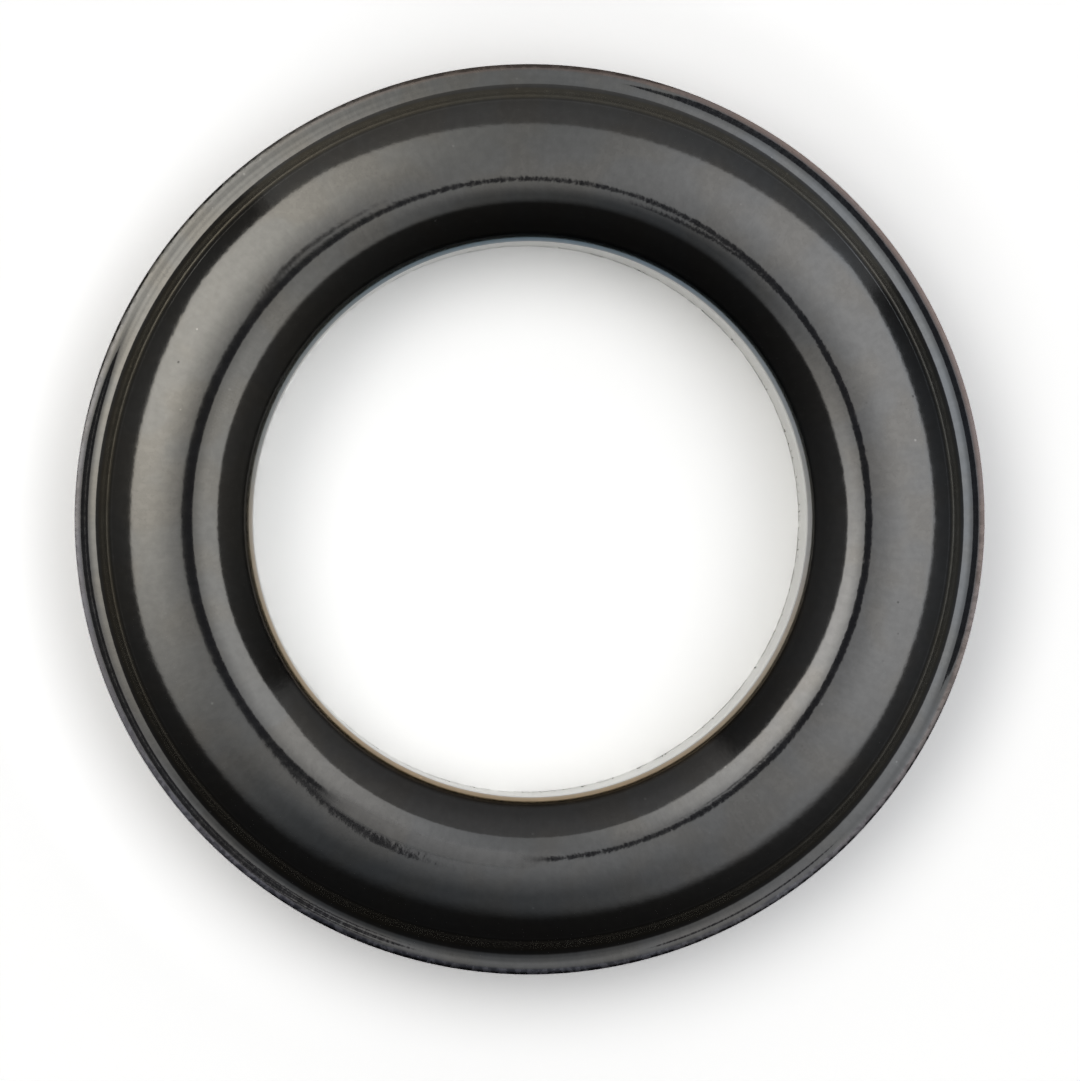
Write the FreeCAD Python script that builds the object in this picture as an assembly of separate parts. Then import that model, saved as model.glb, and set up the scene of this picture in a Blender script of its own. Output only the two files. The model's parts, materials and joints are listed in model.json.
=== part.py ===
import FreeCAD, Part

import math
import os

# Grommet eyelet, pressed in one piece from thin sheet and not yet set. All sizes are in millimetres.
# The barrel's cut end stands on the plane z = 0, the bore runs along Z, and the flange is on top.
# The section is one sheet of constant thickness, bent in arcs that run into each other.

# The eyelet as a whole
bore_radius = 12.2
outer_radius = 20.0
overall_height = 6.0
sheet_thickness = 0.3

# The dome, from the bore outwards: a throat, a shoulder, a tighter roll up to the crest, and a long fall to the skirt
throat_bend = 0.85
throat_slope_deg = 47.0
shoulder_to_roll = 1.57
roll_slope_deg = 25.0
crest_inset = 0.23

# The skirt below the dome: straight, with two fine raised lines that the die left
skirt_width = 0.63
skirt_slope_deg = 28.5
die_line_width = 0.08
die_line_height = 0.01
die_line_inset = 0.05
die_line_gap = 0.16

# The brim: a hollow that turns a little upwards, and a rounded fall that ends at the cut edge
brim_bend = 1.0
brim_rise_deg = 6.0
edge_bend = 0.78
edge_slope_deg = 28.0

LEVEL = 0.0
UPRIGHT = math.radians(90.0)
CONVEX = 1
CONCAVE = -1

throat_slope = math.radians(throat_slope_deg)
roll_slope = math.radians(roll_slope_deg)
skirt_slope = math.radians(skirt_slope_deg)
brim_rise = math.radians(brim_rise_deg)
edge_slope = math.radians(edge_slope_deg)

# The brim and the skirt are laid out inward from the outer edge
edge_width = edge_bend * (math.sin(brim_rise) + math.sin(edge_slope))
brim_width = brim_bend * (math.sin(skirt_slope) + math.sin(brim_rise))
skirt_start_radius = outer_radius - edge_width - brim_width - skirt_width
skirt_length = skirt_width / math.cos(skirt_slope)

# The dome fills the width between the bore and the skirt
crest_radius = (bore_radius + skirt_start_radius) / 2 - crest_inset
fall_bend = (skirt_start_radius - crest_radius) / math.sin(skirt_slope)
throat_width = throat_bend * (1 - math.sin(throat_slope))
inner_width = crest_radius - bore_radius - throat_width
shoulder_turn = math.sin(throat_slope) - math.sin(roll_slope)
roll_bend = inner_width / (math.sin(roll_slope) + shoulder_to_roll * shoulder_turn)
shoulder_bend = shoulder_to_roll * roll_bend
barrel_length = (
    overall_height
    - throat_bend * math.cos(throat_slope)
    - shoulder_bend * (math.cos(roll_slope) - math.cos(throat_slope))
    - roll_bend * (1 - math.cos(roll_slope))
)


def on_section(radius, height):
    """A point of the section, which lies in the XZ plane."""
    return FreeCAD.Vector(radius, 0, height)


def along(slope):
    """The unit direction of a run with this slope."""
    return on_section(math.cos(slope), math.sin(slope))


def outward(slope):
    """The unit direction that leaves the sheet's outside where its run has this slope."""
    return on_section(-math.sin(slope), math.cos(slope))


class Skin:
    """One side of the sheet, drawn run by run from the barrel's cut end to the rim's cut edge."""

    def __init__(self, depth):
        self.depth = depth
        self.first = on_section(bore_radius + depth, 0)
        self.here = self.first
        self.edges = []

    def step(self, offset):
        """A straight run to the point that lies this far on."""
        end = self.here + offset
        self.edges.append(Part.makeLine(self.here, end))
        self.here = end

    def bend(self, side, outside_radius, slope_in, slope_out):
        """An arc that leaves in the direction in which the run before it came."""
        radius = outside_radius - side * self.depth
        centre = self.here - outward(slope_in) * side * radius
        middle = centre + outward((slope_in + slope_out) / 2) * side * radius
        end = centre + outward(slope_out) * side * radius
        self.edges.append(Part.Arc(self.here, middle, end).toShape())
        self.here = end

    def skirt_run(self, length, rise=0.0):
        """A straight run down the skirt that ends this far off its line."""
        self.step(along(-skirt_slope) * length + outward(-skirt_slope) * rise)

    def die_line(self):
        """A fine raised line with straight flanks."""
        self.skirt_run(die_line_width / 2, die_line_height)
        self.skirt_run(die_line_width / 2, -die_line_height)


def draw_skin(depth):
    """The sheet's skin at this depth under the outside; only the outside has the die lines."""
    skin = Skin(depth)
    skin.step(along(UPRIGHT) * barrel_length)
    skin.bend(CONVEX, throat_bend, UPRIGHT, throat_slope)
    skin.bend(CONVEX, shoulder_bend, throat_slope, roll_slope)
    skin.bend(CONVEX, roll_bend, roll_slope, LEVEL)
    skin.bend(CONVEX, fall_bend, LEVEL, -skirt_slope)
    if depth == 0:
        skin.skirt_run(die_line_inset)
        skin.die_line()
        skin.skirt_run(die_line_gap)
        skin.die_line()
        skin.skirt_run(skirt_length - die_line_inset - die_line_gap - 2 * die_line_width)
    else:
        skin.skirt_run(skirt_length)
    skin.bend(CONCAVE, brim_bend, -skirt_slope, brim_rise)
    skin.bend(CONVEX, edge_bend, brim_rise, -edge_slope)
    return skin


def eyelet():
    """The sheet's section turned once round the bore's axis."""
    outside = draw_skin(0)
    inside = draw_skin(sheet_thickness)
    cut_ends = [
        Part.makeLine(outside.first, inside.first),
        Part.makeLine(outside.here, inside.here),
    ]
    outline = Part.Wire(Part.__sortEdges__(outside.edges + inside.edges + cut_ends))
    centre = FreeCAD.Vector(0, 0, 0)
    bore_axis = FreeCAD.Vector(0, 0, 1)
    return Part.Face(outline).revolve(centre, bore_axis, 360)


os.makedirs("parts", exist_ok=True)
eyelet().exportStep("parts/eyelet.step")
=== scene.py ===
"""Builds a pressed grommet eyelet with its plated finish, and the white stage that it is photographed on."""

import json
import math

import bpy
from bpy.props import FloatProperty, FloatVectorProperty, IntProperty, PointerProperty
from mathutils import Matrix, Vector


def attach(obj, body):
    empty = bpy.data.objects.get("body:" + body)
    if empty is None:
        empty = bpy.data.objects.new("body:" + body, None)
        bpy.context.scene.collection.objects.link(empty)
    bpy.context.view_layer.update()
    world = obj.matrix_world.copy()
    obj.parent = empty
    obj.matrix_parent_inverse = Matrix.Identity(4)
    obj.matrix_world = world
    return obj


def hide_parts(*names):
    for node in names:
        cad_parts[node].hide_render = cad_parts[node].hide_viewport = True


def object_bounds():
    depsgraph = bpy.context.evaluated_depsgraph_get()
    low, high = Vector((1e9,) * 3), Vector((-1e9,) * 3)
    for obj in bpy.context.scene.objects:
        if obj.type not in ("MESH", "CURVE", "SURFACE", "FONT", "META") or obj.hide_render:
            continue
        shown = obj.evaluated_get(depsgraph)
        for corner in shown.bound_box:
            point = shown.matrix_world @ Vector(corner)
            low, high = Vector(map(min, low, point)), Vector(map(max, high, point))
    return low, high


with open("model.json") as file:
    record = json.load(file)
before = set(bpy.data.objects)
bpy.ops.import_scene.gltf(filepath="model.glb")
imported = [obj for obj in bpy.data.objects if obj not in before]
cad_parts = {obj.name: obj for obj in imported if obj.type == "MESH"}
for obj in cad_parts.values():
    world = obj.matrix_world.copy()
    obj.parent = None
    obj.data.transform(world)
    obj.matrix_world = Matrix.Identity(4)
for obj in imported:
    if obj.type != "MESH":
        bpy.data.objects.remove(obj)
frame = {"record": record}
CAD_LOW, CAD_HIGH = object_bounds()

bl_info = {
    "name": "Grommet Eyelet",
    "version": (1, 0, 0),
    "blender": (4, 5, 0),
    "location": "3D View > Sidebar > Eyelet",
    "description": "Models a pressed grommet eyelet, plates it dark and lights it in a tent",
    "category": "Object",
}

MM = 0.001
LEVEL = 0.0
UPRIGHT = math.radians(90)
FULL_TURN = math.radians(360)
CONVEX = 1
CONCAVE = -1
SHARP = math.radians(65)
MERGE_NEAR = 0.0004 * MM
WHITE = (1.0, 1.0, 1.0, 1.0)
NODE = "eyelet"

# In all these tables a side is an angle in degrees round the bore, anticlockwise from the right of the picture.

# Where the brim is uneven: from this side to that one, how far up the brim tilts there in degrees, and how much
# further up its edge does
BRIM_TILTS = (
    (-22, 72, 1.5, 10.0),
    (80, 157, -12.0, 8.0),
    (166, 238, 0.0, 6.5),
    (256, 284, -6.0, 6.0),
    (316, 336, -5.0, 5.0),
)

# Bands of the plating, as distances outward from the bore's wall in millimetres: where each starts, where it is
# full, and for most of them where it begins to fade and where it is gone
THROAT_BAND = (0.0, 0.06, 0.22, 0.5)
SCUFFED_BAND = (2.1, 2.4, 3.4, 3.9)
RUBBED_BAND = (2.2, 2.5, 2.9, 3.15)
OUTER_BAND = (5.2, 5.8)
SKIRT_BAND = (6.2, 6.35, 6.7, 6.79)
DIE_BAND = (6.26, 6.34, 6.62, 6.7)
EDGE_BAND = (7.5, 7.62)

# Layers of the bore's wall, as heights above the barrel's foot in millimetres: where each is gone and where it is
# full
WALL_LAYER = (4.35, 3.9)
THROAT_LAYER = (4.1, 4.4)
SCUFFED_LAYER = (1.3, 0.3)
# The foot layer is partly painted contact shadow where the barrel stands on the floor, and partly a dark burr
FOOT_LAYER = (0.4, 0.15)

# The sides at which the plating is tinted or worn
# The warm and cool sides are where painted reflections tint the plating warmer on one side and cooler on the other
WARM_REFLECTION_SIDE = 150
COOL_REFLECTION_SIDE = 20
# The throat's blue and gold sides are painted reflections
THROAT_BLUE_REFLECTION_SIDE = 90
THROAT_GOLD_REFLECTION_SIDE = 262
# The edge's brown side is a painted warm reflection
EDGE_BROWN_REFLECTION_SIDE = 38
EDGE_VIOLET_SIDE = 240
WORN_SIDE = 285
RUBBED_SIDE = 252
UNSCUFFED_SIDE = 170
CLOUD_TINT = (1.025, 1.0, 0.965)
# The scuffs' tint also paints the contact shadow at the barrel's foot
SCUFF_AND_FOOT_SHADE_TINT = (0.3, 0.3, 0.28)

# The ceiling's colour straight above, and what its lights add further out: the side to which each lies, its
# strength, how narrow it is, and its tint
CEILING_MIDDLE = (0.53, 0.54, 0.55)
CEILING_LIGHTS = (
    (155, 1.16, 2.2, (1.0, 0.975, 0.925)),
    (15, 0.52, 1.3, (1.0, 1.0, 1.0)),
    (250, -0.4, 1.0, (1.0, 1.0, 1.0)),
    (88, -0.3, 8.0, (1.0, 0.98, 0.96)),
)

# The ceiling's edges: the side of each, how far out it is for a ceiling one unit up, and how soft it is
CEILING_EDGES = (
    (85, 0.91, 0.05),
    (125, 1.09, 0.06),
    (175, 0.95, 0.06),
    (215, 0.97, 0.12),
    (255, 0.84, 0.42),
    (295, 1.0, 0.3),
    (340, 1.2, 0.1),
    (10, 1.25, 0.07),
)

# The tent's walls: how bright they all are, what two of their sides add to that, each with how narrow it is, and
# what the back wall adds
WALL_LEVEL = 0.02
WALL_SIDES = ((165, 4.0, 0.07), (350, 4.0, 0.08))
BACK_WALL_SIDE = 80
BACK_WALL_LEVEL = 0.155

# The floor: how white it is, how much whiter it shows, its tint, and what it shows more or less on two sides close
# by the eyelet, in a band whose edges are given in outer radii: painted light on the left of the eyelet's shadow
# and painted shadow on its upper right
FLOOR_WHITE = 0.8
FLOOR_SHOWN = 1.53
FLOOR_TINT = (1.0, 0.993, 0.989)
FLOOR_PAINTED_LIGHT_AND_SHADOW = ((180, 0.55), (65, -0.17))
FLOOR_BAND = (0.9, 1.02, 1.15, 1.3)

# The dark arms beside the lens: where each starts and ends, and its width, in millimetres
LENS_ARMS = (
    ((-14, 12, 254), (-31, 44, 254), 7),
    ((-34, 46, 254), (-12, 40, 254), 7),
    ((-15, -15, 254), (-19, -77, 254), 14),
)
# What the lens and its arms give off
LENS_GLOW = (0.05, 0.052, 0.06, 1.0)
# The width of the camera's sensor, in millimetres
SENSOR_WIDTH = 36.0


def mount_radius(name):
    """The radius of one of the part's round mounts, in metres."""
    for mount in frame["record"]["mounts"]:
        if mount["name"] == name:
            return mount["dims"]["r_mm"] * MM
    raise RuntimeError(f"the part has no mount named {name}")


def length(name, description, default):
    """A size, in metres."""
    return FloatProperty(name=name, description=description, default=default, unit="LENGTH", precision=6)


def angle(name, description, degrees):
    """A slope or a side."""
    return FloatProperty(name=name, description=description, default=math.radians(degrees), subtype="ANGLE")


def level(name, description, default):
    """A plain number that isn't negative."""
    return FloatProperty(name=name, description=description, default=default, min=0.0)


def colour(name, description, default):
    """A colour, or a tint that multiplies one."""
    return FloatVectorProperty(name=name, description=description, default=default, subtype="COLOR", min=0.0)


class EyeletSection(bpy.types.PropertyGroup):
    """Sizes of the pressed section."""

    bore_radius: length("Bore radius", "Inside of the barrel", mount_radius("bore"))
    outer_radius: length("Outer radius", "Cut edge of the flange", CAD_HIGH.x)
    overall_height: length("Overall height", "From the barrel's cut end to the crest", CAD_HIGH.z)
    sheet: length("Sheet thickness", "The same all along the section", mount_radius("barrel") - mount_radius("bore"))
    throat_bend: length("Throat bend", "Bend from the barrel into the dome", 0.85 * MM)
    throat_slope: angle("Throat slope", "Slope where the throat meets the dome's shoulder", 47)
    shoulder_to_roll: level("Shoulder to roll", "How many times larger the shoulder's bend is than the roll's", 1.57)
    roll_slope: angle("Roll slope", "Slope where the shoulder meets the roll", 25)
    crest_inset: length("Crest inset", "How far the crest lies inward of the dome's middle", 0.23 * MM)
    skirt_width: length("Skirt width", "Straight run below the dome, seen from above", 0.63 * MM)
    skirt_slope: angle("Skirt slope", "Slope of the straight run", 28.5)
    line_width: length("Die line width", "Width of a die line", 0.08 * MM)
    line_height: length("Die line height", "Height of a die line", 0.008 * MM)
    line_inset: length("Die line inset", "From the skirt's top to the first die line", 0.05 * MM)
    line_gap: length("Die line gap", "From one die line to the next", 0.16 * MM)
    brim_bend: length("Brim bend", "Hollow bend from the skirt into the brim", 1.0 * MM)
    brim_rise: angle("Brim rise", "How far the brim turns upwards", 6)
    edge_bend: length("Edge bend", "Bend from the brim to the cut edge", 0.78 * MM)
    edge_slope: angle("Edge slope", "Slope of the sheet at its cut edge", 28)
    brim_tilt_width: length("Brim tilt width", "How much of the brim tilts", 0.7 * MM)
    edge_tilt_width: length("Edge tilt width", "How much of the brim tilts further, at its edge", 0.42 * MM)
    tilt_bend: length("Tilt bend", "Width over which a tilt sets in", 0.12 * MM)
    tilt_fade: angle("Tilt fade", "How far round the bore a tilt takes to set in", 13)
    around: IntProperty(name="Steps around", description="Steps in one turn of the section", default=360, min=24)


class EyeletFinish(bpy.types.PropertyGroup):
    """Colours and surface of the plating."""

    plating: colour("Plating", "Dark nickel", (0.202, 0.2, 0.198))
    # Inside the barrel the plating is painted lighter: painted light, which brightens the floor that the wall mirrors
    barrel_wall_painted_light: colour("Barrel wall", "Bright nickel inside the barrel, burnished by the punch", (0.49, 0.49, 0.46))
    # Painted reflections: these tints make the plating warmer on one side and cooler on the other
    warm_reflection_tint: colour("Warm tint", "Multiplies the plating on its warmer side", (1.02, 1.003, 0.945))
    cool_reflection_tint: colour("Cool tint", "Multiplies the skirt and brim on their cooler side", (0.94, 1.0, 1.07))
    # Painted reflections along the throat: darker and blue on its far side, gold on its near side
    throat_blue_reflection: colour("Throat blue", "Multiplies the plating along the far side of the throat", (0.4, 0.55, 0.7))
    throat_gold_reflection: colour("Throat gold", "Multiplies the plating along the near side of the throat", (1.3, 1.0, 0.66))
    skirt_brown: colour("Skirt brown", "Multiplies the plating on the skirt", (1.08, 1.02, 0.88))
    # The brown at the edge is a painted warm reflection of the tent's light, not wear
    edge_brown_reflection: colour("Edge brown", "Multiplies the plating at the edge where it has worn brown", (1.2, 0.93, 0.84))
    # The edge violet only tints the edge bluish towards one side
    edge_violet: colour("Edge violet", "Multiplies the plating at the edge where it has worn blue", (0.93, 0.93, 1.1))
    roughness: level("Roughness", "Roughness of the clean plating", 0.09)
    relief: length("Relief", "Height of the plating's mottle and draw marks", 0.0022 * MM)


class EyeletStudio(bpy.types.PropertyGroup):
    """The camera, the tent and the floor."""

    distance: length("Camera distance", "From the eyelet's brim to the camera", 250 * MM)
    lean: angle("Lean", "How far the camera stands off the bore's axis", 2.7)
    lean_towards: angle("Lean towards", "Side to which the camera stands off", 176)
    photo_width: length("Picture width", "What the picture spans across at the eyelet's brim", 47.47 * MM)
    aim_right: length("Aim right", "How far right of the bore the camera aims", 0.382 * MM)
    aim_down: length("Aim down", "How far below the bore the camera aims", 0.922 * MM)
    aim_drop: length("Aim drop", "How far the brim lies below the crest", 1.35 * MM)
    lens_radius: length("Lens radius", "The dark lens that the plating mirrors", 28.5 * MM)
    floor_size: length("Floor size", "Side of the floor", 0.9)


class Skin:
    """One side of the sheet in the XZ plane, drawn with the extrude and spin tools from the selected point."""

    def __init__(self, here):
        self.here = Vector(here)

    def run(self, distance, slope, rise, parts):
        """A straight run along this slope in equal parts, which ends this far off its line."""
        for _ in range(parts):
            move = (along(slope) * distance + outward(slope) * rise) / parts
            bpy.ops.mesh.extrude_region_move(TRANSFORM_OT_translate={"value": move})
            self.here += move

    def bend(self, side, radius, slope_in, slope_out, steps):
        """A bend that leaves in the direction in which the run before it came."""
        centre = self.here - outward(slope_in) * side * radius
        bpy.ops.mesh.spin(
            steps=steps, angle=slope_out - slope_in, center=centre, axis=(0, 1, 0), use_auto_merge=False
        )
        self.here = centre + outward(slope_out) * side * radius


def along(slope):
    """The unit direction of a run with this slope."""
    return Vector((math.cos(slope), 0, math.sin(slope)))


def outward(slope):
    """The unit direction that leaves the sheet's outside where its run has this slope."""
    return Vector((-math.sin(slope), 0, math.cos(slope)))


def deselect_all():
    """Leave edit mode and let go of everything, as a new primitive's operators act on all that is selected."""
    if bpy.context.object and bpy.context.object.mode != "OBJECT":
        bpy.ops.object.mode_set(mode="OBJECT")
    bpy.ops.object.select_all(action="DESELECT")


def section_runs(s):
    """The outside's runs from the barrel's foot to the cut edge: straight ones and bends, with their steps."""
    edge_width = s.edge_bend * (math.sin(s.brim_rise) + math.sin(s.edge_slope))
    brim_width = s.brim_bend * (math.sin(s.skirt_slope) + math.sin(s.brim_rise))
    skirt_start = s.outer_radius - edge_width - brim_width - s.skirt_width
    skirt_length = s.skirt_width / math.cos(s.skirt_slope)
    crest = (s.bore_radius + skirt_start) / 2 - s.crest_inset
    fall_bend = (skirt_start - crest) / math.sin(s.skirt_slope)
    throat_width = s.throat_bend * (1 - math.sin(s.throat_slope))
    inner_width = crest - s.bore_radius - throat_width
    shoulder_turn = math.sin(s.throat_slope) - math.sin(s.roll_slope)
    roll_bend = inner_width / (math.sin(s.roll_slope) + s.shoulder_to_roll * shoulder_turn)
    shoulder_bend = s.shoulder_to_roll * roll_bend
    barrel = (
        s.overall_height
        - s.throat_bend * math.cos(s.throat_slope)
        - shoulder_bend * (math.cos(s.roll_slope) - math.cos(s.throat_slope))
        - roll_bend * (1 - math.cos(s.roll_slope))
    )
    die_line = [("run", s.line_width / 2, -s.skirt_slope, rise, 1) for rise in (s.line_height, -s.line_height)]
    rest = skirt_length - s.line_inset - s.line_gap - 2 * s.line_width
    return [
        ("run", barrel, UPRIGHT, 0, 8),
        ("bend", CONVEX, s.throat_bend, UPRIGHT, s.throat_slope, 16),
        ("bend", CONVEX, shoulder_bend, s.throat_slope, s.roll_slope, 14),
        ("bend", CONVEX, roll_bend, s.roll_slope, LEVEL, 16),
        ("bend", CONVEX, fall_bend, LEVEL, -s.skirt_slope, 30),
        ("run", s.line_inset, -s.skirt_slope, 0, 1),
        *die_line,
        ("run", s.line_gap, -s.skirt_slope, 0, 1),
        *die_line,
        ("run", rest, -s.skirt_slope, 0, 3),
        ("bend", CONCAVE, s.brim_bend, -s.skirt_slope, s.brim_rise, 14),
        ("bend", CONVEX, s.edge_bend, s.brim_rise, -s.edge_slope, 14),
    ]


def draw_outside(skin, runs):
    """From the barrel's foot to the cut edge."""
    for kind, *sizes in runs:
        if kind == "bend":
            skin.bend(*sizes)
        else:
            skin.run(*sizes)


def draw_underside(skin, runs, sheet):
    """Back along the underside: the same bends about the same centres, and the runs without the die lines."""
    for kind, *sizes in reversed(runs):
        if kind == "bend":
            side, radius, slope_in, slope_out, steps = sizes
            skin.bend(side, radius - side * sheet, slope_out, slope_in, steps)
        else:
            distance, slope, _, parts = sizes
            skin.run(-distance, slope, 0, parts)


def brim_rise_at(radius, side, s):
    """How far the brim is lifted at this radius and side of the bore."""
    rise = 0.0
    for start, end, *tilts in BRIM_TILTS:
        middle, half = math.radians(start + end) / 2, math.radians(end - start) / 2
        off = abs(math.remainder(side - middle, FULL_TURN))
        share = min(max((half - off) / s.tilt_fade + 0.5, 0.0), 1.0)
        share = share * share * (3 - 2 * share)
        for tilt_deg, width in zip(tilts, (s.brim_tilt_width, s.edge_tilt_width)):
            beyond = max(radius - s.outer_radius + width, 0.0)
            bent = min(beyond, s.tilt_bend)
            reach = beyond - bent + bent**2 / (2 * s.tilt_bend)
            rise += share * reach * math.tan(math.radians(tilt_deg))
    return rise


def tilt_brim(piece, s):
    """Lift and lower the brim with two displace modifiers, whose weights follow its unevenness."""
    rises = [
        brim_rise_at(math.hypot(vertex.co.x, vertex.co.y), math.atan2(vertex.co.y, vertex.co.x), s)
        for vertex in piece.data.vertices
    ]
    for name, way in (("brim_up", 1), ("brim_down", -1)):
        most = max(way * rise for rise in rises)
        group = piece.vertex_groups.new(name=name)
        for index, rise in enumerate(rises):
            if way * rise > 0:
                group.add([index], way * rise / most, "REPLACE")
        bpy.ops.object.modifier_add(type="DISPLACE")
        lift = piece.modifiers[-1]
        lift.direction = "Z"
        lift.mid_level = 0.0
        lift.strength = way * most
        lift.vertex_group = name
        bpy.ops.object.modifier_apply(modifier=lift.name)
    piece.vertex_groups.clear()


def merge_points():
    """In edit mode, join the points that lie on each other."""
    bpy.ops.mesh.select_all(action="SELECT")
    bpy.ops.mesh.remove_doubles(threshold=MERGE_NEAR)


def draw_section(s):
    """The sheet's whole outline in the XZ plane, begun and closed at the foot of the bore's wall."""
    bpy.ops.mesh.primitive_plane_add(size=s.sheet)
    piece = bpy.context.object
    piece.name = piece.data.name = "pressed_eyelet"
    bpy.ops.object.mode_set(mode="EDIT")
    bpy.ops.mesh.select_all(action="SELECT")
    bpy.ops.mesh.merge(type="CENTER")
    bpy.ops.transform.translate(value=(s.bore_radius, 0, 0))
    skin = Skin((s.bore_radius, 0, 0))
    runs = section_runs(s)
    draw_outside(skin, runs)
    skin.run(0, -s.edge_slope, -s.sheet, 2)
    draw_underside(skin, runs, s.sheet)
    skin.run(s.bore_radius - skin.here.x, LEVEL, 0, 2)
    merge_points()
    bpy.ops.object.mode_set(mode="OBJECT")
    return piece


def turn_section(piece, around):
    """Turn the outline once round the bore and close the mesh where it meets itself."""
    bpy.ops.object.modifier_add(type="SCREW")
    turn = piece.modifiers[-1]
    turn.axis = "Z"
    turn.angle = FULL_TURN
    turn.steps = turn.render_steps = around
    turn.use_merge_vertices = True
    turn.merge_threshold = MERGE_NEAR
    bpy.ops.object.modifier_apply(modifier=turn.name)
    bpy.ops.object.mode_set(mode="EDIT")
    merge_points()
    bpy.ops.mesh.normals_make_consistent(inside=False)
    bpy.ops.object.mode_set(mode="OBJECT")


class EYELET_OT_press(bpy.types.Operator):
    """Draw the sheet's section and turn it once round the bore"""

    bl_idname = "eyelet.press"
    bl_label = "Press the eyelet"

    def execute(self, context):
        s = context.scene.eyelet_section
        deselect_all()
        piece = draw_section(s)
        turn_section(piece, s.around)
        tilt_brim(piece, s)
        bpy.ops.object.shade_smooth_by_angle(angle=SHARP)
        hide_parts(NODE)
        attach(piece, "root")
        return {"FINISHED"}


class Nodes:
    """A short way to write node trees: each call adds its nodes and returns an output."""

    def __init__(self, tree):
        self.tree = tree
        tree.nodes.clear()

    def node(self, kind, inputs=None, **settings):
        """One node, with its inputs linked to outputs or set to values."""
        node = self.tree.nodes.new(kind)
        for name, value in settings.items():
            setattr(node, name, value)
        for name, value in (inputs or {}).items():
            if isinstance(value, bpy.types.NodeSocket):
                self.tree.links.new(value, node.inputs[name])
            else:
                node.inputs[name].default_value = value
        return node

    def add(self, kind, inputs=None, output=0, **settings):
        """One node's output."""
        return self.node(kind, inputs, **settings).outputs[output]

    def math(self, operation, a, b=0.0):
        return self.add("ShaderNodeMath", {0: a, 1: b}, operation=operation)

    def sum(self, first, *others):
        for other in others:
            first = self.math("ADD", first, other)
        return first

    def product(self, first, *others):
        for other in others:
            first = self.math("MULTIPLY", first, other)
        return first

    def vector(self, operation, a, b):
        return self.add("ShaderNodeVectorMath", {0: a, 1: b}, operation=operation)

    def scaled(self, vector, factor):
        return self.add("ShaderNodeVectorMath", {0: vector, "Scale": factor}, operation="SCALE")

    def smooth(self, value, low, high, to_low=0.0, to_high=1.0):
        """A soft step from one value to the other, while the input goes from low to high."""
        return self.add(
            "ShaderNodeMapRange",
            {"Value": value, "From Min": low, "From Max": high, "To Min": to_low, "To Max": to_high},
            interpolation_type="SMOOTHSTEP",
        )

    def mixed(self, share, first, second):
        """The first colour where the share is 0, and the second where it is 1."""
        return self.add("ShaderNodeMix", {0: share, 6: first, 7: second}, output=2, data_type="RGBA")

    def separate(self, vector):
        return self.node("ShaderNodeSeparateXYZ", {0: vector}).outputs

    def combine(self, x, y, z):
        return self.add("ShaderNodeCombineXYZ", {0: x, 1: y, 2: z})

    def polar(self, x, y):
        """How far out this place lies, and its side as a unit direction."""
        away = self.math("SQRT", self.sum(self.product(x, x), self.product(y, y)))
        return away, self.math("DIVIDE", x, away), self.math("DIVIDE", y, away)

    def reach(self, x, y, side_deg):
        """How far out this place lies towards one side."""
        turn = math.radians(side_deg)
        return self.sum(self.product(x, math.cos(turn)), self.product(y, math.sin(turn)))

    def lobe(self, x, y, side_deg, power):
        """A soft lobe round the bore: 1 towards one side, 0 on the far side."""
        reach = self.math("MAXIMUM", self.reach(x, y, side_deg), 0.0)
        return reach if power == 1 else self.math("POWER", reach, power)


class Plating(Nodes):
    """The plated sheet's patterns, all on object coordinates."""

    def __init__(self, tree, section):
        super().__init__(tree)
        self.place = self.add("ShaderNodeTexCoord", output="Object")
        x, y, self.z = self.separate(self.place)
        self.radius, self.side_x, self.side_y = self.polar(x, y)
        self.bore = section.bore_radius
        self.rim = section.outer_radius

    def from_bore(self, start, full, fade=None, gone=None):
        """1 in a band round the bore, given by distances from its wall in millimetres, and 0 outside the band."""
        inner = self.smooth(self.radius, self.bore + start * MM, self.bore + full * MM)
        if gone is None:
            return inner
        return self.product(inner, self.smooth(self.radius, self.bore + gone * MM, self.bore + fade * MM))

    def to_rim(self, start, end, to_start, to_end):
        """A soft step from one value to the other between two distances from the rim, in millimetres."""
        return self.smooth(self.radius, self.rim - start * MM, self.rim - end * MM, to_start, to_end)

    def layer(self, gone, full):
        """0 at one height above the barrel's foot and 1 at the other, both in millimetres."""
        return self.smooth(self.z, gone * MM, full * MM)

    def towards(self, side_deg, power):
        return self.lobe(self.side_x, self.side_y, side_deg, power)

    def noise(self, size_mm, detail):
        settings = {"Vector": self.place, "Scale": 1 / (size_mm * MM), "Detail": detail, "Roughness": 0.55}
        return self.add("ShaderNodeTexNoise", settings)

    def specks(self, spacing_mm, radius_mm, share):
        """Two kinds of round specks, each in this share of the cells."""
        cells = self.node("ShaderNodeTexVoronoi", {"Vector": self.place, "Scale": 1 / (spacing_mm * MM)}).outputs
        reach = radius_mm / spacing_mm
        chosen, size, _ = self.separate(cells["Color"])
        spot = self.product(self.smooth(cells["Distance"], reach, reach / 2), self.smooth(size, 0.0, 0.8, 0.3, 1.0))
        first = self.product(spot, self.smooth(chosen, 1 - share, 1 - share / 2))
        return first, self.product(spot, self.smooth(chosen, share, share / 2))

    def draw_marks(self, across_mm, along_mm):
        """Noise drawn out from the bore towards the edge: its marks' width and length, in millimetres."""
        turns = self.bore / (across_mm * MM)
        per_metre = 1 / (along_mm * MM)
        drawn = self.combine(
            self.product(self.side_x, turns),
            self.product(self.side_y, turns),
            self.sum(self.product(self.radius, per_metre), self.product(self.z, per_metre)),
        )
        return self.add("ShaderNodeTexNoise", {"Vector": drawn, "Scale": 1.0, "Detail": 1.0})

    def tinted(self, colour_in, share, tint):
        """The colour, times this tint where the share is 1."""
        return self.vector("MULTIPLY", colour_in, self.mixed(share, WHITE, (*tint, 1)))


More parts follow.
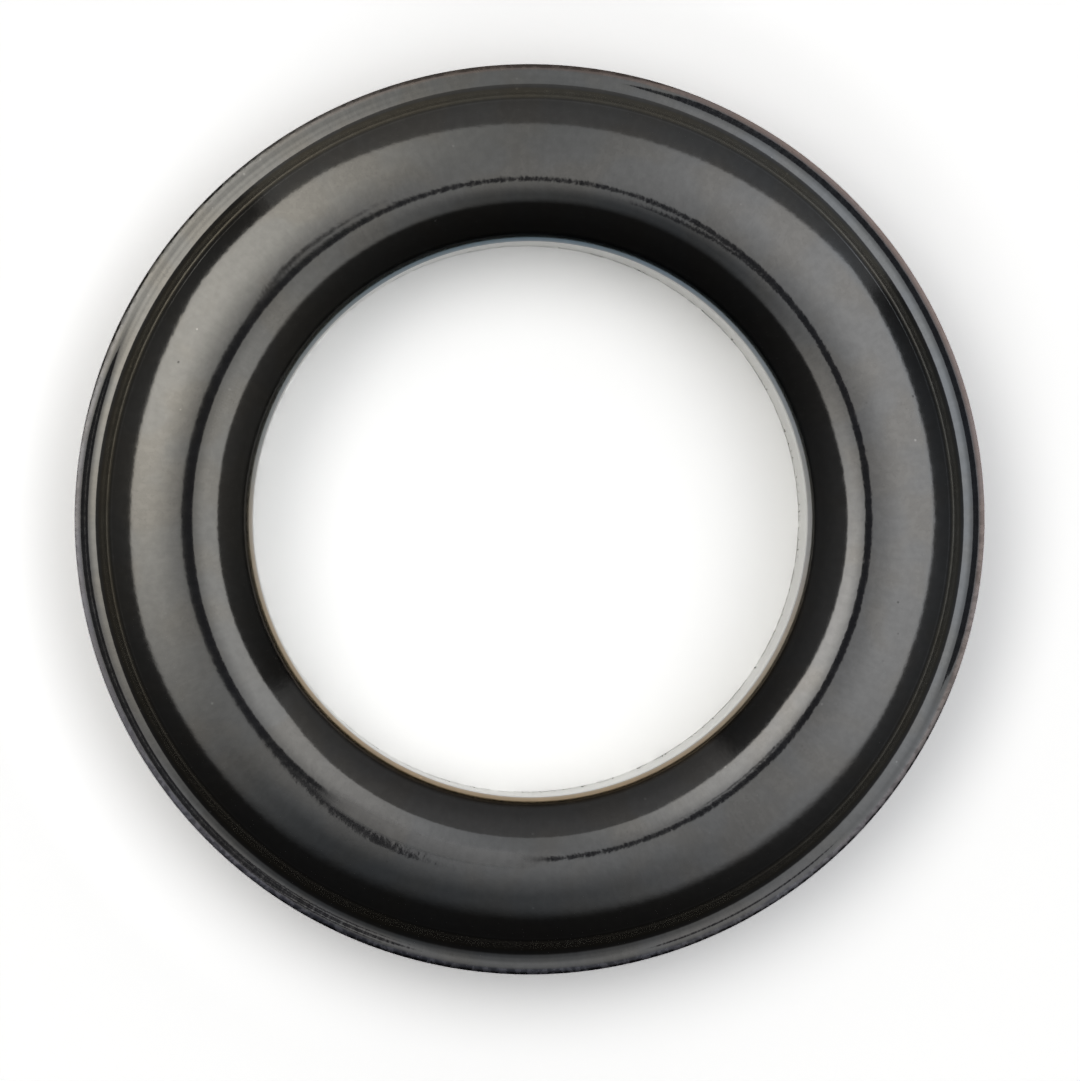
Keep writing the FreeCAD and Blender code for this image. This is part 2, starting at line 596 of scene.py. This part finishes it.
def plating_material(finish, section):
    """Dark nickel with clouds, hairlines, pits and nicks, worn and tinted by side, the tints mostly painted
    reflections, painted bright inside the barrel and partly painted dark at its foot.
    """
    material = bpy.data.materials.new("dark_nickel_plating")
    material.use_nodes = True
    n = Plating(material.node_tree, section)

    wall = n.product(n.smooth(n.radius, n.bore + 0.04 * MM, n.bore + 0.01 * MM), n.layer(*WALL_LAYER))
    # Partly painted contact shadow at the barrel's foot, partly a dark burr
    foot = n.product(wall, n.layer(*FOOT_LAYER))
    throat = n.product(n.from_bore(*THROAT_BAND), n.layer(*THROAT_LAYER))
    edge = n.from_bore(*EDGE_BAND)
    worn = n.product(edge, n.smooth(n.towards(WORN_SIDE, 1), 0.0, 0.5))
    rubbed = n.product(n.from_bore(*RUBBED_BAND), n.smooth(n.towards(RUBBED_SIDE, 1), 0.93, 0.98))
    scuffed_crest = n.product(n.from_bore(*SCUFFED_BAND), n.smooth(n.towards(UNSCUFFED_SIDE, 1), 0.8, 0.2))

    cloud = n.noise(2.4, detail=1.0)
    mottle = n.noise(0.36, detail=2.0)
    blotches = n.smooth(mottle, 0.4, 0.6)
    hairs = n.product(n.smooth(n.math("ABSOLUTE", n.sum(mottle, -0.5)), 0.016, 0.0), n.smooth(cloud, 0.46, 0.6))
    marks = n.draw_marks(across_mm=0.14, along_mm=1.6)
    pits, nicks = n.specks(spacing_mm=0.7, radius_mm=0.075, share=0.2)
    # Dark scuffs on the bore's wall, and painted contact shadow in blotches at its foot
    scuffs_and_foot_shade = n.product(wall, n.smooth(marks, 0.58, 0.68), n.layer(*SCUFFED_LAYER))
    scuffs_and_foot_shade = n.math("MAXIMUM", scuffs_and_foot_shade, n.product(foot, blotches))

    tone = n.sum(
        n.smooth(mottle, 0.25, 0.75, 0.95, 1.05),
        n.smooth(marks, 0.3, 0.7, -0.015, 0.015),
        n.product(hairs, -0.12),
        n.product(pits, -0.3),
        n.product(nicks, 0.5),
        n.product(worn, n.smooth(mottle, 0.38, 0.6, -0.25, 0.25)),
    )
    tints = (
        (n.smooth(cloud, 0.42, 0.62), CLOUD_TINT),
        # Painted warm and cool reflections, by side
        (n.towards(WARM_REFLECTION_SIDE, 1), finish.warm_reflection_tint),
        (n.product(n.towards(COOL_REFLECTION_SIDE, 2), n.from_bore(*OUTER_BAND)), finish.cool_reflection_tint),
        (n.from_bore(*SKIRT_BAND), finish.skirt_brown),
        # Painted reflections in the throat
        (n.product(throat, n.towards(THROAT_BLUE_REFLECTION_SIDE, 0.8)), finish.throat_blue_reflection),
        (n.product(throat, n.towards(THROAT_GOLD_REFLECTION_SIDE, 0.6)), finish.throat_gold_reflection),
        # Painted warm reflection at the edge
        (n.product(edge, n.towards(EDGE_BROWN_REFLECTION_SIDE, 0.8)), finish.edge_brown_reflection),
        (n.product(edge, n.towards(EDGE_VIOLET_SIDE, 0.6)), finish.edge_violet),
    )
    shade = n.scaled(finish.plating, tone)
    for share, tint in tints:
        shade = n.tinted(shade, share, tint)
    # Painted light: the bore's wall is lighter, so that it mirrors the floor brighter
    shade = n.mixed(wall, shade, (*finish.barrel_wall_painted_light, 1))
    # Darkens the scuffs, and paints contact shadow at the barrel's foot
    shade = n.tinted(shade, scuffs_and_foot_shade, SCUFF_AND_FOOT_SHADE_TINT)

    rough = n.sum(
        n.smooth(mottle, 0.3, 0.7, finish.roughness * 0.9, finish.roughness * 1.1),
        n.product(pits, 0.2),
        n.product(wall, 0.12),
        n.product(scuffs_and_foot_shade, 0.42),
        n.product(edge, blotches, 0.22),
        n.product(rubbed, 0.3),
        n.product(n.from_bore(*DIE_BAND), 0.13),
    )
    mottle_height = n.sum(n.to_rim(0.4, 0.3, 0.9, 1.4), n.product(scuffed_crest, 1.2))
    height = n.sum(n.product(mottle, mottle_height), n.product(marks, n.to_rim(1.0, 0.6, 0.2, 0.8)))
    bump = n.add("ShaderNodeBump", {"Strength": 1.0, "Distance": finish.relief, "Height": height})
    surface = {"Base Color": shade, "Roughness": rough, "Normal": bump, "Metallic": 1.0}
    n.node("ShaderNodeOutputMaterial", {"Surface": n.add("ShaderNodeBsdfPrincipled", surface)})
    return material


class EYELET_OT_plate(bpy.types.Operator):
    """Give the pressed sheet its dark plating"""

    bl_idname = "eyelet.plate"
    bl_label = "Plate the eyelet"

    def execute(self, context):
        piece = bpy.data.objects.get("pressed_eyelet")
        if piece is None:
            raise RuntimeError("press the eyelet before it is plated")
        piece.data.materials.clear()
        piece.data.materials.append(plating_material(context.scene.eyelet_finish, context.scene.eyelet_section))
        return {"FINISHED"}


def tent_world():
    """White to the camera, and to everything else a tent: a bright ceiling with eight edges over dark walls."""
    world = bpy.data.worlds.new("tent")
    bpy.context.scene.world = world
    world.use_nodes = True
    n = Nodes(world.node_tree)
    x, y, z = n.separate(n.add("ShaderNodeTexCoord", output="Generated"))
    level_part, side_x, side_y = n.polar(x, y)
    up = n.math("MAXIMUM", z, 0.001)
    ceiling_x = n.math("DIVIDE", x, up)
    ceiling_y = n.math("DIVIDE", y, up)
    off_middle = n.smooth(n.math("DIVIDE", level_part, up), 0.0, 0.6)

    ceiling = CEILING_MIDDLE
    for side_deg, strength, power, tint in CEILING_LIGHTS:
        light = n.product(n.lobe(side_x, side_y, side_deg, power), strength, off_middle)
        ceiling = n.vector("ADD", ceiling, n.scaled(tint, light))
    in_ceiling = n.math("GREATER_THAN", z, 0.0)
    for side_deg, reach, soft in CEILING_EDGES:
        out = n.reach(ceiling_x, ceiling_y, side_deg)
        in_ceiling = n.product(in_ceiling, n.smooth(out, reach + soft / 2, reach - soft / 2))

    in_back_wall = n.smooth(n.lobe(side_x, side_y, BACK_WALL_SIDE, 1), 0.64, 0.7)
    walls = n.sum(
        n.product(in_back_wall, BACK_WALL_LEVEL),
        *(n.product(n.lobe(side_x, side_y, side_deg, power), extra) for side_deg, power, extra in WALL_SIDES),
        WALL_LEVEL,
    )
    walls = n.product(walls, n.smooth(z, 0.02, 0.16, 0.15, 1.0), n.smooth(z, 0.2, 0.75, 0.75, 1.25))

    seen = n.add("ShaderNodeLightPath", output="Is Camera Ray")
    glow = n.mixed(seen, n.mixed(in_ceiling, walls, ceiling), WHITE)
    n.node("ShaderNodeOutputWorld", {"Surface": n.add("ShaderNodeBackground", {"Color": glow})})


def floor_material(outer_radius):
    """A white sheet that shows whiter than it lights; close by the eyelet, painted light lifts its shadow on the left
    and painted shadow deepens it on the upper right.
    """
    material = bpy.data.materials.new("white_floor")
    material.use_nodes = True
    n = Nodes(material.node_tree)
    ray = n.node("ShaderNodeLightPath").outputs
    shown = n.math("MAXIMUM", ray["Is Camera Ray"], ray["Is Glossy Ray"])
    x, y, _ = n.separate(n.add("ShaderNodeTexCoord", output="Object"))
    away, side_x, side_y = n.polar(x, y)
    start, full, fade, gone = (outer_radius * edge for edge in FLOOR_BAND)
    close_by = n.product(n.smooth(away, start, full), n.smooth(away, gone, fade))
    # Painted light lifts the eyelet's shadow on the floor to its left, and painted shadow deepens it towards its
    # upper right
    beside = n.sum(*(n.product(n.lobe(side_x, side_y, side_deg, 2), extra) for side_deg, extra in FLOOR_PAINTED_LIGHT_AND_SHADOW))
    white = n.sum(FLOOR_WHITE, n.product(shown, n.sum(FLOOR_SHOWN, n.product(beside, close_by))))
    colour_out = n.scaled(FLOOR_TINT, white)
    n.node("ShaderNodeOutputMaterial", {"Surface": n.add("ShaderNodeBsdfDiffuse", {"Color": colour_out})})
    return material


def camera_body_material():
    """The dim black of the lens and the arms beside it, whatever light falls on them."""
    material = bpy.data.materials.new("camera_body")
    material.use_nodes = True
    n = Nodes(material.node_tree)
    n.node("ShaderNodeOutputMaterial", {"Surface": n.add("ShaderNodeEmission", {"Color": LENS_GLOW})})
    return material


def stage_lens(studio, eye):
    """The dark lens at the eye and the arms beside it, which only the plating sees."""
    body = camera_body_material()
    bpy.ops.mesh.primitive_circle_add(vertices=64, radius=studio.lens_radius, fill_type="NGON", location=eye)
    parts = [bpy.context.object]
    for start, end, width in LENS_ARMS:
        start, end = Vector(start) * MM, Vector(end) * MM
        out = (end - start).normalized()
        side = Vector((0, 0, 1)).cross(out).normalized()
        turn = Matrix((out, side, out.cross(side))).transposed().to_euler()
        bpy.ops.mesh.primitive_plane_add(size=1, location=(start + end) / 2, rotation=turn)
        bpy.context.object.scale = ((end - start).length, width * MM, 1)
        parts.append(bpy.context.object)
    for part in parts:
        part.name = "dark_lens"
        part.visible_camera = False
        part.data.materials.append(body)


def stage_camera(studio, brim_height):
    """The camera, a little off the bore's axis and aimed beside it; gives the place of its eye."""
    lean = Matrix.Rotation(studio.lean_towards, 3, "Z") @ Matrix.Rotation(studio.lean, 3, "Y")
    eye = Vector((0, 0, brim_height)) + lean @ Vector((0, 0, studio.distance))
    aim = Vector((studio.aim_right, -studio.aim_down, brim_height))
    back = (eye - aim).normalized()
    right = Vector((0, 1, 0)).cross(back).normalized()
    turn = Matrix((right, back.cross(right), back)).transposed().to_euler()
    bpy.ops.object.camera_add(location=eye, rotation=turn)
    camera = bpy.context.object
    camera.name = camera.data.name = "camera"
    camera.data.sensor_width = SENSOR_WIDTH
    camera.data.lens = SENSOR_WIDTH * studio.distance / studio.photo_width
    camera.data.clip_start = 0.001
    bpy.context.scene.camera = camera
    return eye


class EYELET_OT_stage(bpy.types.Operator):
    """Set the floor, the tent, the dark lens and the camera"""

    bl_idname = "eyelet.stage"
    bl_label = "Set the stage"

    def execute(self, context):
        studio = context.scene.eyelet_studio
        section = context.scene.eyelet_section
        deselect_all()
        bpy.ops.mesh.primitive_plane_add(size=studio.floor_size)
        floor = context.object
        floor.name = "floor"
        floor.data.materials.append(floor_material(section.outer_radius))

        eye = stage_camera(studio, section.overall_height - studio.aim_drop)
        deselect_all()
        stage_lens(studio, eye)
        tent_world()
        context.scene.view_settings.view_transform = "Standard"
        return {"FINISHED"}


class EYELET_PT_panel(bpy.types.Panel):
    """The eyelet's steps and sizes"""

    bl_idname = "EYELET_PT_panel"
    bl_label = "Grommet eyelet"
    bl_space_type = "VIEW_3D"
    bl_region_type = "UI"
    bl_category = "Eyelet"

    def draw(self, context):
        layout = self.layout
        for step in STEPS:
            layout.operator(step.bl_idname)
        for group_name, group in GROUPS.items():
            box = layout.box()
            for size_name in group.__annotations__:
                box.prop(getattr(context.scene, group_name), size_name)


STEPS = (EYELET_OT_press, EYELET_OT_plate, EYELET_OT_stage)
GROUPS = {
    "eyelet_section": EyeletSection,
    "eyelet_finish": EyeletFinish,
    "eyelet_studio": EyeletStudio,
}


def register():
    for group in GROUPS.values():
        bpy.utils.register_class(group)
    for step in STEPS:
        bpy.utils.register_class(step)
    bpy.utils.register_class(EYELET_PT_panel)
    for name, group in GROUPS.items():
        setattr(bpy.types.Scene, name, PointerProperty(type=group))


def unregister():
    for name in GROUPS:
        delattr(bpy.types.Scene, name)
    bpy.utils.unregister_class(EYELET_PT_panel)
    for step in reversed(STEPS):
        bpy.utils.unregister_class(step)
    for group in GROUPS.values():
        bpy.utils.unregister_class(group)


def main():
    register()
    bpy.ops.eyelet.press()
    bpy.ops.eyelet.plate()
    bpy.ops.eyelet.stage()


if __name__ == "__main__":
    main()
